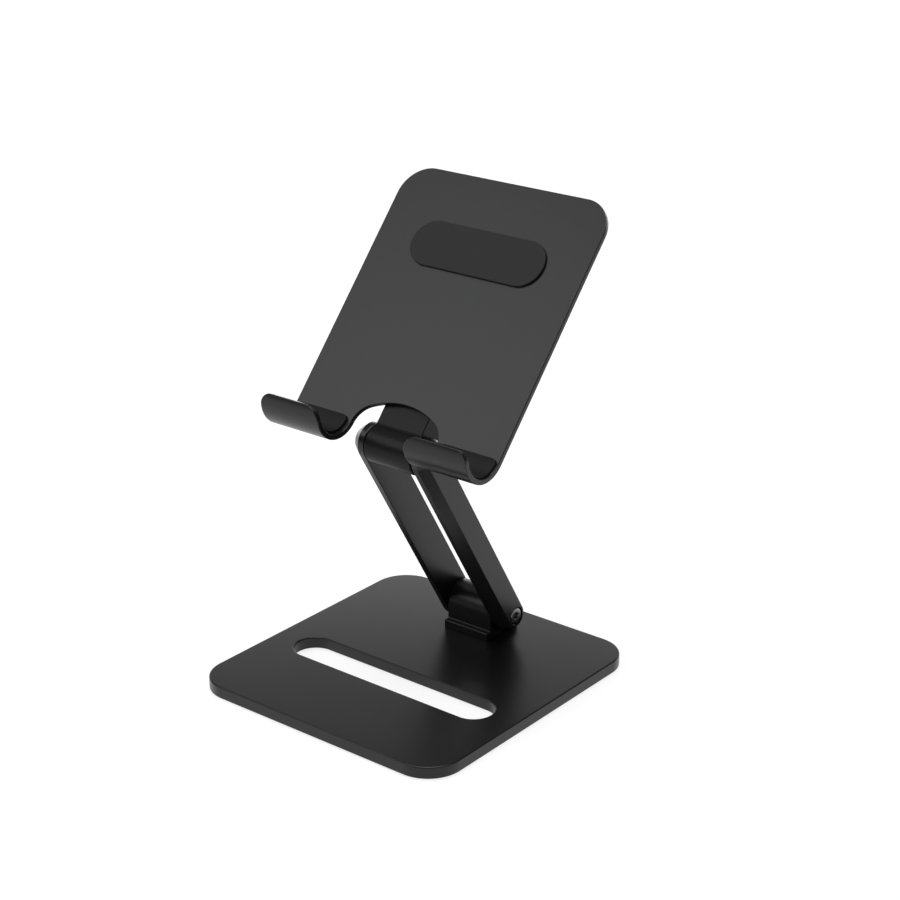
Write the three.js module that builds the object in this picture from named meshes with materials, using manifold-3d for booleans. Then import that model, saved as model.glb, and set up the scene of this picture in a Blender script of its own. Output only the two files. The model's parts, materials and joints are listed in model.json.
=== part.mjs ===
// Folding desk stand for a phone: a heavy base plate, two parallel arms on a lower friction
// hinge, and a leaning back plate with two J-shaped lips on an upper friction hinge.
// Millimetres, +X to the right, +Y to the back, +Z up. The origin is on the desk, under the
// middle of the base plate. Both hinge axes run along X.
import * as THREE from 'three';
import * as BufferGeometryUtils from 'three/addons/utils/BufferGeometryUtils.js';
import Module from 'manifold-3d';

const wasm = await Module();
wasm.setup();

// ---------- driving dimensions ----------

const BASE_WIDTH = 115.4;
const BASE_DEPTH = 120.9;
const BASE_THICKNESS = 4.7;
const BASE_CORNER = 14;
const BASE_CHAMFER = 0.5;
const SLOT_LENGTH = 93;
const SLOT_WIDTH = 16;
const SLOT_Y = -14.4;

const FOOT_STANDOFF = 0.4;
const FOOT_RECESS = 0.7;
const FOOT_LENGTH = 26;
const FOOT_WIDTH = 10;
const FOOT_INSET_X = 24;
const FOOT_INSET_Y = 11;

const LOWER_HINGE_Y = 39.6;
const LOWER_HINGE_HEIGHT = 9.5;
const ARM_LENGTH = 93.3;
const ARM_LEAN = THREE.MathUtils.degToRad(31.2);
const PLATE_LEAN = THREE.MathUtils.degToRad(41.3);

const KNUCKLE_HALF_WIDTH = 10.5;
const LOWER_KNUCKLE_RADIUS = 7.5;
const UPPER_KNUCKLE_RADIUS = 7.4;
const BLOCK_FLANGE_REACH = 2.2;
const BLOCK_FLANGE_HEIGHT = 3.3;

const ARM_INNER = 11.05;
const ARM_WALL = 2.7;
const ARM_THICKNESS = 6.2;
const ARM_RADIUS = 7.1;
const ARM_FACE_RADIUS = 4.4;

const AXLE_RADIUS = 2.5;
const AXLE_BORE = 1.75;
const AXLE_POCKET = 1.35;
const BUSH_RADIUS = 3.5;
const BUSH_LENGTH = 8;
const SCREW_SHANK_RADIUS = 1.6;
const SCREW_SHANK_LENGTH = 8;
const SCREW_HEAD_RADIUS = 3.15;
const SCREW_HEAD_HEIGHT = 2.05;
const SCREW_HEAD_EDGE = 0.25;
const COUNTERBORE_RADIUS = 3.55;
const COUNTERBORE_DEPTH = 2.7;
const HEX_ACROSS_FLATS = 2.6;
const HEX_DEPTH = 1.3;
const DISC_SPRING_THICKNESS = 0.35;
const FRICTION_WASHER_RADIUS = 6.6;
const FRICTION_WASHER_THICKNESS = 0.3;

const PLATE_WIDTH = 94.4;
const PLATE_SHEET = 2;
const PLATE_FRONT = 7.38;
const PLATE_TOP = 106;
const PLATE_CORNER = 12.5;
const LIP_OUTER_RADIUS = 11.4;
const LIP_CENTRE_HEIGHT = 3.5;
const LIP_TOP = -0.8;
const LIP_CORNER_OUTER = 4.5;
const LIP_CORNER_INNER = 5.5;
const ARCH_HALF_WIDTH = 19.6;
const ARCH_TOP = 14.3;
const ARCH_CROWN_RADIUS = 32;
const ARCH_SHOULDER_RADIUS = 9;

const PAD_LENGTH = 60;
const PAD_HEIGHT = 18.4;
const PAD_THICKNESS = 0.9;
const PAD_CENTRE = 76.4;
const LINER_THICKNESS = 1;
const LINER_TOP = 4.6;
const LINER_INNER_INSET = 1.9;
const LINER_OUTER_INSET = 0.8;
const LINER_LIP_MARGIN = 0.9;

const TONGUE_TOP = 36;
const TONGUE_ROOT_DEPTH = 12;
const TONGUE_TIP_DEPTH = 4.4;
const TONGUE_TAPER_START = 15;
const STUD_HEIGHTS = [18.5, 29.5];
const STUD_RADIUS = 1.5;
const STUD_LENGTH = 7;
const NUT_ACROSS_FLATS = 5.5;
const NUT_HEIGHT = 2;
const NUT_RECESS_RADIUS = 4;

const BASE_SCREW_X = 5.5;
const BASE_SCREW_HEAD_RADIUS = 3.4;
const BASE_SCREW_SHANK_RADIUS = 1.8;
const BASE_SCREW_LENGTH = 8.4;

const FIT_GAP = 0.1;
const ROUND = 40;
const ROUND_FINE = 56;

// ---------- derived places ----------

const BASE_TOP = FOOT_STANDOFF + BASE_THICKNESS;
const LOWER_HINGE = new THREE.Vector3(0, LOWER_HINGE_Y, BASE_TOP + LOWER_HINGE_HEIGHT);
const ARM_UP = new THREE.Vector3(0, -Math.sin(ARM_LEAN), Math.cos(ARM_LEAN));
const UPPER_HINGE = LOWER_HINGE.clone().addScaledVector(ARM_UP, ARM_LENGTH);
const PLATE_BACK = PLATE_FRONT - PLATE_SHEET;
const LIP_CENTRE_DEPTH = PLATE_BACK + LIP_OUTER_RADIUS;
const LIP_INNER_RADIUS = LIP_OUTER_RADIUS - PLATE_SHEET;
const TONGUE_FRONT = PLATE_BACK - FIT_GAP;

const SIDES = [['left', -1], ['right', 1]];
const X = new THREE.Vector3(1, 0, 0);
const Y = new THREE.Vector3(0, 1, 0);
const Z = new THREE.Vector3(0, 0, 1);

// Directions of the holder's own frame: OUT points out of the plate's front, UP runs up it.
const PLATE_OUT = new THREE.Vector3(0, -Math.cos(PLATE_LEAN), Math.sin(PLATE_LEAN));
const PLATE_UP = new THREE.Vector3(0, Math.sin(PLATE_LEAN), Math.cos(PLATE_LEAN));

// ---------- materials ----------

function finish(color, roughness, metalness) {
  return new THREE.MeshStandardMaterial({ color, roughness, metalness });
}

const blackAluminium = () => finish(0x1b1b1d, 0.42, 0.7);
const darkSilicone = () => finish(0x2b2b2c, 0.85, 0);
const steel = () => finish(0xc4c5c8, 0.28, 1);
const blackSteel = () => finish(0x2a2a2c, 0.4, 0.9);
const bearingPlastic = () => finish(0x3a3a38, 0.6, 0);

// ---------- solid helpers ----------

function toSolid(geometry) {
  const bare = geometry.clone();
  bare.deleteAttribute('normal');
  bare.deleteAttribute('uv');
  const merged = BufferGeometryUtils.mergeVertices(bare, 1e-4);
  const vertProperties = Float32Array.from(merged.attributes.position.array);
  const triVerts = Uint32Array.from(merged.index.array);
  return new wasm.Manifold(new wasm.Mesh({ numProp: 3, vertProperties, triVerts }));
}

function toGeometry(solid) {
  const mesh = solid.getMesh();
  const geometry = new THREE.BufferGeometry();
  geometry.setAttribute('position', new THREE.BufferAttribute(mesh.vertProperties, 3));
  geometry.setIndex(new THREE.BufferAttribute(mesh.triVerts, 1));
  geometry.computeVertexNormals();
  return geometry;
}

function named(name, shape, material) {
  const geometry = shape.isBufferGeometry ? shape : toGeometry(shape);
  const mesh = new THREE.Mesh(geometry, material);
  mesh.name = name;
  return mesh;
}

function cutAll(solid, tools) {
  return tools.reduce((left, tool) => left.subtract(tool), solid);
}

// Maps a shape's own axes (a, b, depth) onto three world directions through a point.
function place(geometry, a, b, depth, point = new THREE.Vector3()) {
  const frame = new THREE.Matrix4().makeBasis(a, b, depth).setPosition(point);
  return geometry.applyMatrix4(frame);
}

// A flat outline drawn out along its own third axis.
function extruded(shape, depth, curveSegments) {
  return new THREE.ExtrudeGeometry(shape, { depth, bevelEnabled: false, curveSegments });
}

// A flat outline in Y and Z, drawn out along X from x0 to x1.
function alongX(shape, x0, x1, curveSegments = ROUND / 4) {
  return place(extruded(shape, x1 - x0, curveSegments), Y, Z, X, new THREE.Vector3(x0, 0, 0));
}

// A flat outline in X and Y, drawn up along Z from z0 to z1.
function alongZ(shape, z0, z1, curveSegments = ROUND / 4) {
  return extruded(shape, z1 - z0, curveSegments).translate(0, 0, z0);
}

// A side outline in the holder's (out, up) frame, filling the width from x0 to x1.
function holderProfile(shape, x0, x1, curveSegments = ROUND / 4) {
  const start = UPPER_HINGE.clone().setX(x1);
  return place(extruded(shape, x1 - x0, curveSegments), PLATE_OUT, PLATE_UP, X.clone().negate(), start);
}

// A flat outline seen from the holder's front (x, up), drawn from depth out0 to depth out1.
function holderFace(shape, out0, out1, curveSegments = ROUND / 4) {
  const start = UPPER_HINGE.clone().addScaledVector(PLATE_OUT, out0);
  return place(extruded(shape, out1 - out0, curveSegments), X, PLATE_UP, PLATE_OUT, start);
}

// A turned piece: pairs of (radius, distance along the axis), closed on itself or on the axis.
function turned(profile, axis, point, segments = ROUND) {
  const points = profile.map(([radius, along]) => new THREE.Vector2(radius, along));
  const geometry = new THREE.LatheGeometry(points, segments);
  const side = Math.abs(axis.x) > 0.5 ? Y.clone() : X.clone();
  const other = new THREE.Vector3().crossVectors(side, axis);
  return place(geometry, side, axis, other, point);
}

function cylinder(radius, from, to, axis, point, segments = ROUND) {
  return turned([[0, from], [radius, from], [radius, to], [0, to]], axis, point, segments);
}

function ring(inner, outer, from, to, axis, point, segments = ROUND) {
  const profile = [[inner, from], [outer, from], [outer, to], [inner, to], [inner, from]];
  return turned(profile, axis, point, segments);
}

function hexagon(acrossFlats) {
  const corner = acrossFlats / Math.sqrt(3);
  const shape = new THREE.Shape();
  for (let side = 0; side < 6; side += 1) {
    const angle = side * Math.PI / 3;
    const method = side === 0 ? 'moveTo' : 'lineTo';
    shape[method](corner * Math.cos(angle), corner * Math.sin(angle));
  }
  shape.closePath();
  return shape;
}

function pill(length, width) {
  const radius = width / 2;
  const reach = length / 2 - radius;
  const shape = new THREE.Shape();
  shape.moveTo(-reach, -radius);
  shape.lineTo(reach, -radius);
  shape.absarc(reach, 0, radius, -Math.PI / 2, Math.PI / 2, false);
  shape.lineTo(-reach, radius);
  shape.absarc(-reach, 0, radius, Math.PI / 2, 3 * Math.PI / 2, false);
  return shape;
}

function roundedRectangle(width, depth, radius) {
  const w = width / 2;
  const d = depth / 2;
  const shape = new THREE.Shape();
  shape.moveTo(-w + radius, -d);
  shape.lineTo(w - radius, -d);
  shape.absarc(w - radius, -d + radius, radius, -Math.PI / 2, 0, false);
  shape.lineTo(w, d - radius);
  shape.absarc(w - radius, d - radius, radius, 0, Math.PI / 2, false);
  shape.lineTo(-w + radius, d);
  shape.absarc(-w + radius, d - radius, radius, Math.PI / 2, Math.PI, false);
  shape.lineTo(-w, -d + radius);
  shape.absarc(-w + radius, -d + radius, radius, Math.PI, 3 * Math.PI / 2, false);
  return shape;
}

// ---------- base ----------

const footPlaces = [];
for (const [side, signX] of SIDES) {
  for (const [end, signY] of [['front', -1], ['rear', 1]]) {
    const x = signX * (BASE_WIDTH / 2 - FOOT_INSET_X);
    const y = signY * (BASE_DEPTH / 2 - FOOT_INSET_Y);
    footPlaces.push({ name: `foot_${end}_${side}`, x, y });
  }
}

const baseScrewPlaces = SIDES.map(([, sign]) => new THREE.Vector3(sign * BASE_SCREW_X, LOWER_HINGE_Y, 0));

function basePlate() {
  const outline = roundedRectangle(BASE_WIDTH, BASE_DEPTH, BASE_CORNER);
  const slotPoints = pill(SLOT_LENGTH, SLOT_WIDTH).getPoints(ROUND / 4);
  slotPoints.forEach((point) => point.setY(point.y + SLOT_Y));
  outline.holes.push(new THREE.Path(slotPoints));
  const plate = new THREE.ExtrudeGeometry(outline, {
    depth: BASE_THICKNESS - 2 * BASE_CHAMFER,
    bevelThickness: BASE_CHAMFER,
    bevelSize: BASE_CHAMFER,
    bevelOffset: -BASE_CHAMFER,
    bevelSegments: 1,
    curveSegments: ROUND / 4,
  });
  plate.translate(0, 0, FOOT_STANDOFF + BASE_CHAMFER);
  const recesses = footPlaces.map(({ x, y }) => {
    const pocket = pill(FOOT_LENGTH + 2 * FIT_GAP, FOOT_WIDTH + 2 * FIT_GAP);
    return toSolid(alongZ(pocket, -1, FOOT_STANDOFF + FOOT_RECESS, ROUND / 5).translate(x, y, 0));
  });
  const sinkDepth = FOOT_STANDOFF + BASE_SCREW_HEAD_RADIUS - BASE_SCREW_SHANK_RADIUS + FIT_GAP;
  const screwHoles = baseScrewPlaces.map((point) => toSolid(turned([
    [0, -1],
    [BASE_SCREW_HEAD_RADIUS + FIT_GAP, -1],
    [BASE_SCREW_HEAD_RADIUS + FIT_GAP, FOOT_STANDOFF + FIT_GAP],
    [BASE_SCREW_SHANK_RADIUS + FIT_GAP, sinkDepth],
    [BASE_SCREW_SHANK_RADIUS + FIT_GAP, BASE_TOP + 1],
    [0, BASE_TOP + 1],
  ], Z, point)));
  return cutAll(toSolid(plate), [...recesses, ...screwHoles]);
}

function foot({ x, y }) {
  const sole = pill(FOOT_LENGTH, FOOT_WIDTH);
  return alongZ(sole, 0, FOOT_STANDOFF + FOOT_RECESS - FIT_GAP, ROUND / 5).translate(x, y, 0);
}

// Countersunk screw, driven up through the base plate into the hinge block.
function baseScrew(point) {
  const headBottom = FOOT_STANDOFF + FIT_GAP;
  const coneTop = headBottom + BASE_SCREW_HEAD_RADIUS - BASE_SCREW_SHANK_RADIUS;
  const top = headBottom + BASE_SCREW_LENGTH;
  const blank = toSolid(turned([
    [0, headBottom],
    [BASE_SCREW_HEAD_RADIUS - FIT_GAP, headBottom],
    [BASE_SCREW_SHANK_RADIUS, coneTop],
    [BASE_SCREW_SHANK_RADIUS, top],
    [0, top],
  ], Z, point, ROUND / 2));
  const socket = alongZ(hexagon(HEX_ACROSS_FLATS), 0, headBottom + HEX_DEPTH);
  return blank.subtract(toSolid(socket.translate(point.x, point.y, 0)));
}

// The bore for the bushes, right through a knuckle along its hinge axis.
function knuckleBore(hinge) {
  const reach = KNUCKLE_HALF_WIDTH + 1;
  return toSolid(cylinder(BUSH_RADIUS, -reach, reach, X, hinge));
}

// The block has a half-round top about the hinge axis, flat front and back, and a thin foot.
function hingeBlock() {
  const { y, z } = LOWER_HINGE;
  const radius = LOWER_KNUCKLE_RADIUS;
  const bottom = BASE_TOP + FIT_GAP / 2;
  const side = new THREE.Shape();
  side.moveTo(y - radius - BLOCK_FLANGE_REACH, bottom);
  side.lineTo(y + radius + BLOCK_FLANGE_REACH, bottom);
  side.lineTo(y + radius + BLOCK_FLANGE_REACH, BASE_TOP + BLOCK_FLANGE_HEIGHT);
  side.lineTo(y + radius, BASE_TOP + BLOCK_FLANGE_HEIGHT);
  side.lineTo(y + radius, z);
  side.absarc(y, z, radius, 0, Math.PI, false);
  side.lineTo(y - radius, BASE_TOP + BLOCK_FLANGE_HEIGHT);
  side.lineTo(y - radius - BLOCK_FLANGE_REACH, BASE_TOP + BLOCK_FLANGE_HEIGHT);
  side.closePath();
  const body = toSolid(alongX(side, -KNUCKLE_HALF_WIDTH, KNUCKLE_HALF_WIDTH, ROUND / 2));
  const bore = knuckleBore(LOWER_HINGE);
  const holeTop = FOOT_STANDOFF + BASE_SCREW_LENGTH + 3 * FIT_GAP;
  const tappedHoles = baseScrewPlaces.map((point) => (
    toSolid(cylinder(BASE_SCREW_SHANK_RADIUS + FIT_GAP, BASE_TOP - 1, holeTop, Z, point, ROUND / 2))
  ));
  return cutAll(body, [bore, ...tappedHoles]);
}

// ---------- hinge hardware, the same on both axes ----------

function bush(hinge, side) {
  const inner = AXLE_RADIUS + FIT_GAP;
  const outer = BUSH_RADIUS - FIT_GAP;
  const end = KNUCKLE_HALF_WIDTH - FIT_GAP;
  return ring(inner, outer, end - BUSH_LENGTH, end, X.clone().multiplyScalar(side), hinge, ROUND / 2);
}

function axle(hinge) {
  const reach = ARM_INNER + AXLE_POCKET - FIT_GAP;
  return ring(AXLE_BORE, AXLE_RADIUS, -reach, reach, X, hinge, ROUND / 2);
}

function frictionWasher(hinge, side) {
  const middle = (KNUCKLE_HALF_WIDTH + ARM_INNER) / 2;
  const half = FRICTION_WASHER_THICKNESS / 2;
  const axis = X.clone().multiplyScalar(side);
  return ring(AXLE_RADIUS + FIT_GAP, FRICTION_WASHER_RADIUS, middle - half, middle + half, axis, hinge);
}

const HEAD_SEAT = ARM_INNER + ARM_THICKNESS - COUNTERBORE_DEPTH;

function discSpring(hinge, side) {
  const from = HEAD_SEAT + FIT_GAP / 2;
  const axis = X.clone().multiplyScalar(side);
  const to = from + DISC_SPRING_THICKNESS;
  const outer = SCREW_HEAD_RADIUS - FIT_GAP;
  return ring(SCREW_SHANK_RADIUS + FIT_GAP, outer, from, to, axis, hinge, ROUND / 2);
}

function armScrew(hinge, side) {
  const axis = X.clone().multiplyScalar(side);
  const headFrom = HEAD_SEAT + DISC_SPRING_THICKNESS + FIT_GAP;
  const headTo = headFrom + SCREW_HEAD_HEIGHT;
  const blank = toSolid(turned([
    [0, headFrom - SCREW_SHANK_LENGTH],
    [SCREW_SHANK_RADIUS, headFrom - SCREW_SHANK_LENGTH],
    [SCREW_SHANK_RADIUS, headFrom],
    [SCREW_HEAD_RADIUS, headFrom],
    [SCREW_HEAD_RADIUS, headTo - SCREW_HEAD_EDGE],
    [SCREW_HEAD_RADIUS - SCREW_HEAD_EDGE, headTo],
    [0, headTo],
  ], axis, hinge));
  const socketX = side > 0 ? [headTo - HEX_DEPTH, headTo + 1] : [-headTo - 1, -headTo + HEX_DEPTH];
  const socket = alongX(hexagon(HEX_ACROSS_FLATS), socketX[0], socketX[1]).translate(0, hinge.y, hinge.z);
  return blank.subtract(toSolid(socket));
}

// ---------- arms ----------

// Outline of the arm seen from its side: a straight bar with round ends on both hinge axes.
function armOutline(radius) {
  const start = Math.PI / 2 + ARM_LEAN;
  const shape = new THREE.Shape();
  shape.absarc(UPPER_HINGE.y, UPPER_HINGE.z, radius, start - Math.PI / 2, start + Math.PI / 2, false);
  shape.absarc(LOWER_HINGE.y, LOWER_HINGE.z, radius, start + Math.PI / 2, start + 3 * Math.PI / 2, false);
  shape.closePath();
  return shape;
}

// The wall is flat on the inside; a wide chamfer leads all round to the narrower outer face.
function arm(side) {
  const wall = toSolid(alongX(armOutline(ARM_RADIUS), ARM_INNER, ARM_INNER + ARM_WALL, ROUND / 2));
  const chamfer = toSolid(armChamfer());
  const inner = ARM_INNER - 1;
  const outer = ARM_INNER + ARM_THICKNESS;
  const cuts = [];
  for (const hinge of [LOWER_HINGE, UPPER_HINGE]) {
    const shankRadius = SCREW_SHANK_RADIUS + 2 * FIT_GAP;
    const pocketRadius = AXLE_RADIUS + FIT_GAP;
    cuts.push(cylinder(COUNTERBORE_RADIUS, HEAD_SEAT, outer + 1, X, hinge));
    cuts.push(cylinder(shankRadius, inner, outer, X, hinge, ROUND / 2));
    cuts.push(cylinder(pocketRadius, inner, ARM_INNER + AXLE_POCKET, X, hinge, ROUND / 2));
  }
  const right = cutAll(wall.add(chamfer), cuts.map(toSolid));
  return side > 0 ? right : right.mirror([1, 0, 0]);
}

function armChamfer() {
  const rise = ARM_THICKNESS - ARM_WALL;
  const inset = ARM_RADIUS - ARM_FACE_RADIUS;
  const sink = 0.4;
  const geometry = new THREE.ExtrudeGeometry(armOutline(ARM_RADIUS), {
    depth: sink,
    bevelThickness: rise,
    bevelSize: inset,
    bevelOffset: -inset,
    bevelSegments: 1,
    curveSegments: ROUND / 2,
  });
  const solid = toSolid(place(geometry, Y, Z, X, new THREE.Vector3(ARM_INNER + ARM_WALL - sink, 0, 0)));
  const keep = new THREE.BoxGeometry(rise + sink, 300, 300);
  keep.translate(ARM_INNER + ARM_WALL - sink + (rise + sink) / 2, 0, 100);
  return toGeometry(solid.intersect(toSolid(keep)));
}

// ---------- holder: back plate, bracket and silicone ----------

const LIP_END_ANGLE = Math.asin((LIP_TOP - LIP_CENTRE_HEIGHT) / LIP_OUTER_RADIUS);

// Side view of the bent sheet: straight up the back, a wide J under the phone, a short lip.
function platePath() {
  const centre = [LIP_CENTRE_DEPTH, LIP_CENTRE_HEIGHT];
  const shape = new THREE.Shape();
  shape.moveTo(PLATE_FRONT, PLATE_TOP);
  shape.lineTo(PLATE_BACK, PLATE_TOP);
  shape.lineTo(PLATE_BACK, LIP_CENTRE_HEIGHT);
  shape.absarc(...centre, LIP_OUTER_RADIUS, Math.PI, 2 * Math.PI + LIP_END_ANGLE, false);
  shape.absarc(...centre, LIP_INNER_RADIUS, 2 * Math.PI + LIP_END_ANGLE, Math.PI, true);
  shape.closePath();
  return shape;
}

function archOutline() {
  const crownCentre = ARCH_TOP - ARCH_CROWN_RADIUS;
  const shoulderX = ARCH_HALF_WIDTH - ARCH_SHOULDER_RADIUS;
  const between = ARCH_CROWN_RADIUS - ARCH_SHOULDER_RADIUS;
  const shoulderY = crownCentre + Math.sqrt(between ** 2 - shoulderX ** 2);
  const meet = Math.acos(shoulderX / between);
  const below = -30;
  const shape = new THREE.Shape();
  shape.moveTo(ARCH_HALF_WIDTH, below);
  shape.lineTo(ARCH_HALF_WIDTH, shoulderY);
  shape.absarc(shoulderX, shoulderY, ARCH_SHOULDER_RADIUS, 0, meet, false);
  shape.absarc(0, crownCentre, ARCH_CROWN_RADIUS, meet, Math.PI - meet, false);
  shape.absarc(-shoulderX, shoulderY, ARCH_SHOULDER_RADIUS, Math.PI - meet, Math.PI, false);
  shape.lineTo(-ARCH_HALF_WIDTH, below);
  shape.closePath();
  return shape;
}

// Cutter that rounds one corner: the square corner less a quarter disc.
function cornerCutter(x, up, signX, radius) {
  const shape = new THREE.Shape();
  const spare = 1;
  const cx = x - signX * radius;
  const cy = up - radius;
  shape.moveTo(cx, up + spare);
  shape.lineTo(x + signX * spare, up + spare);
  shape.lineTo(x + signX * spare, cy);
  shape.lineTo(x, cy);
  shape.absarc(cx, cy, radius, signX > 0 ? 0 : Math.PI, Math.PI / 2, signX < 0);
  shape.closePath();
  return shape;
}

function backPlate() {
  const half = PLATE_WIDTH / 2;
  const sheet = toSolid(holderProfile(platePath(), -half, half, ROUND));
  const studs = STUD_HEIGHTS.map((up) => {
    const point = UPPER_HINGE.clone().addScaledVector(PLATE_UP, up);
    const root = PLATE_FRONT - PLATE_SHEET / 2;
    return toSolid(cylinder(STUD_RADIUS, PLATE_BACK - STUD_LENGTH, root, PLATE_OUT, point, ROUND / 2));
  });
  const pastLips = LIP_CENTRE_DEPTH + 2 * LIP_OUTER_RADIUS;
  const lipCornerStart = LIP_CENTRE_DEPTH + LIP_OUTER_RADIUS / 2;
  const cuts = [holderFace(archOutline(), 0, pastLips, ROUND / 2)];
  for (const sign of [-1, 1]) {
    const topCorner = cornerCutter(sign * half, PLATE_TOP, sign, PLATE_CORNER);
    const outerCorner = cornerCutter(sign * half, LIP_TOP, sign, LIP_CORNER_OUTER);
    const innerCorner = cornerCutter(sign * ARCH_HALF_WIDTH, LIP_TOP, -sign, LIP_CORNER_INNER);
    cuts.push(holderFace(topCorner, 0, LIP_CENTRE_DEPTH, ROUND / 2));
    cuts.push(holderFace(outerCorner, lipCornerStart, pastLips));
    cuts.push(holderFace(innerCorner, lipCornerStart, pastLips));
  }
  const cut = cutAll(sheet, cuts.map(toSolid));
  return studs.reduce((left, stud) => left.add(stud), cut);
}

// Bracket: a round knuckle on the hinge axis that runs up into a thick tapered tongue.
function hingeBracket() {
  const half = KNUCKLE_HALF_WIDTH;
  const knuckle = cylinder(UPPER_KNUCKLE_RADIUS, -half, half, X, UPPER_HINGE, ROUND_FINE);
  const side = new THREE.Shape();
  side.moveTo(TONGUE_FRONT, 0);
  side.lineTo(TONGUE_FRONT, TONGUE_TOP);
  side.lineTo(TONGUE_FRONT - TONGUE_TIP_DEPTH, TONGUE_TOP);
  side.lineTo(TONGUE_FRONT - TONGUE_ROOT_DEPTH, TONGUE_TAPER_START);
  side.lineTo(TONGUE_FRONT - TONGUE_ROOT_DEPTH, 0);
  side.closePath();
  const tongue = holderProfile(side, -half, half);
  const cuts = [knuckleBore(UPPER_HINGE)];
  for (const up of STUD_HEIGHTS) {
    const point = UPPER_HINGE.clone().addScaledVector(PLATE_UP, up);
    const seat = TONGUE_FRONT - TONGUE_TIP_DEPTH + NUT_HEIGHT;
    cuts.push(toSolid(cylinder(STUD_RADIUS + FIT_GAP, -20, 20, PLATE_OUT, point, ROUND / 2)));
    cuts.push(toSolid(cylinder(NUT_RECESS_RADIUS, -20, seat, PLATE_OUT, point, ROUND / 2)));
  }
  return cutAll(toSolid(knuckle).add(toSolid(tongue)), cuts);
}

function studNut(up) {
  const seat = TONGUE_FRONT - TONGUE_TIP_DEPTH + NUT_HEIGHT - FIT_GAP;
  const shape = hexagon(NUT_ACROSS_FLATS);
  const hole = new THREE.Path();
  hole.absarc(0, 0, STUD_RADIUS + FIT_GAP, 0, 2 * Math.PI, true);
  shape.holes.push(hole);
  const lift = PLATE_UP.clone().multiplyScalar(up);
  return holderFace(shape, seat - NUT_HEIGHT, seat, 12).translate(lift.x, lift.y, lift.z);
}

function restPad() {
  const shape = pill(PAD_LENGTH, PAD_HEIGHT);
  const front = PLATE_FRONT + FIT_GAP;
  const geometry = holderFace(shape, front, front + PAD_THICKNESS, ROUND / 3);
  const lift = PLATE_UP.clone().multiplyScalar(PAD_CENTRE);
  return geometry.translate(lift.x, lift.y, lift.z);
}

// Soft liner that follows the inside of one J from the plate round to just under the lip's edge.
function lipLiner(side) {
  const outer = LIP_INNER_RADIUS - FIT_GAP;
  const inner = outer - LINER_THICKNESS;
  const end = 2 * Math.PI + LIP_END_ANGLE - LINER_LIP_MARGIN / outer;
  const centre = [LIP_CENTRE_DEPTH, LIP_CENTRE_HEIGHT];
  const shape = new THREE.Shape();
  shape.moveTo(LIP_CENTRE_DEPTH - inner, LINER_TOP);
  shape.lineTo(LIP_CENTRE_DEPTH - outer, LINER_TOP);
  shape.absarc(...centre, outer, Math.PI, end, false);
  shape.absarc(...centre, inner, end, Math.PI, true);
  shape.closePath();
  const from = ARCH_HALF_WIDTH + LINER_INNER_INSET;
  const to = PLATE_WIDTH / 2 - LINER_OUTER_INSET;
  return side > 0 ? holderProfile(shape, from, to) : holderProfile(shape, -to, -from);
}

// ---------- assembly ----------

function hingeHardware(hinge, prefix) {
  const pieces = [named(`${prefix}_axle`, axle(hinge), steel())];
  for (const [word, side] of SIDES) {
    pieces.push(named(`${prefix}_bush_${word}`, bush(hinge, side), bearingPlastic()));
    pieces.push(named(`${prefix}_friction_washer_${word}`, frictionWasher(hinge, side), blackSteel()));
    pieces.push(named(`${prefix}_disc_spring_${word}`, discSpring(hinge, side), steel()));
    pieces.push(named(`${prefix}_hinge_screw_${word}`, armScrew(hinge, side), steel()));
  }
  return pieces;
}

const base = new THREE.Group();
base.add(named('base_plate', basePlate(), blackAluminium()));
base.add(named('hinge_block', hingeBlock(), blackAluminium()));
for (const spot of footPlaces) {
  base.add(named(spot.name, foot(spot), darkSilicone()));
}
baseScrewPlaces.forEach((point, index) => {
  base.add(named(`base_screw_${SIDES[index][0]}`, baseScrew(point), blackSteel()));
});

const arms = new THREE.Group();
for (const [word, side] of SIDES) {
  arms.add(named(`arm_${word}`, arm(side), blackAluminium()));
}

const holder = new THREE.Group();
holder.add(named('back_plate', backPlate(), blackAluminium()));
holder.add(named('hinge_bracket', hingeBracket(), blackAluminium()));
holder.add(named('rest_pad', restPad(), darkSilicone()));
for (const [word, side] of SIDES) {
  holder.add(named(`lip_liner_${word}`, lipLiner(side), darkSilicone()));
}
STUD_HEIGHTS.forEach((up, index) => {
  holder.add(named(`bracket_nut_${['lower', 'upper'][index]}`, studNut(up), blackSteel()));
});

const stand = new THREE.Group();
stand.add(base, arms, holder);
stand.add(...hingeHardware(LOWER_HINGE, 'lower'));
stand.add(...hingeHardware(UPPER_HINGE, 'upper'));

export default stand;
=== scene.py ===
"""Studio picture of a folding phone stand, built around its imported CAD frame.

The frame gives the hinge axes and every piece's place. Lengths below are in millimetres and
become metres through MM. X runs along both hinge axes, Y to the back and Z up.
"""

import json
import math

import bmesh
import bpy
from mathutils import Matrix, Vector
from mathutils.geometry import tessellate_polygon


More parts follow.
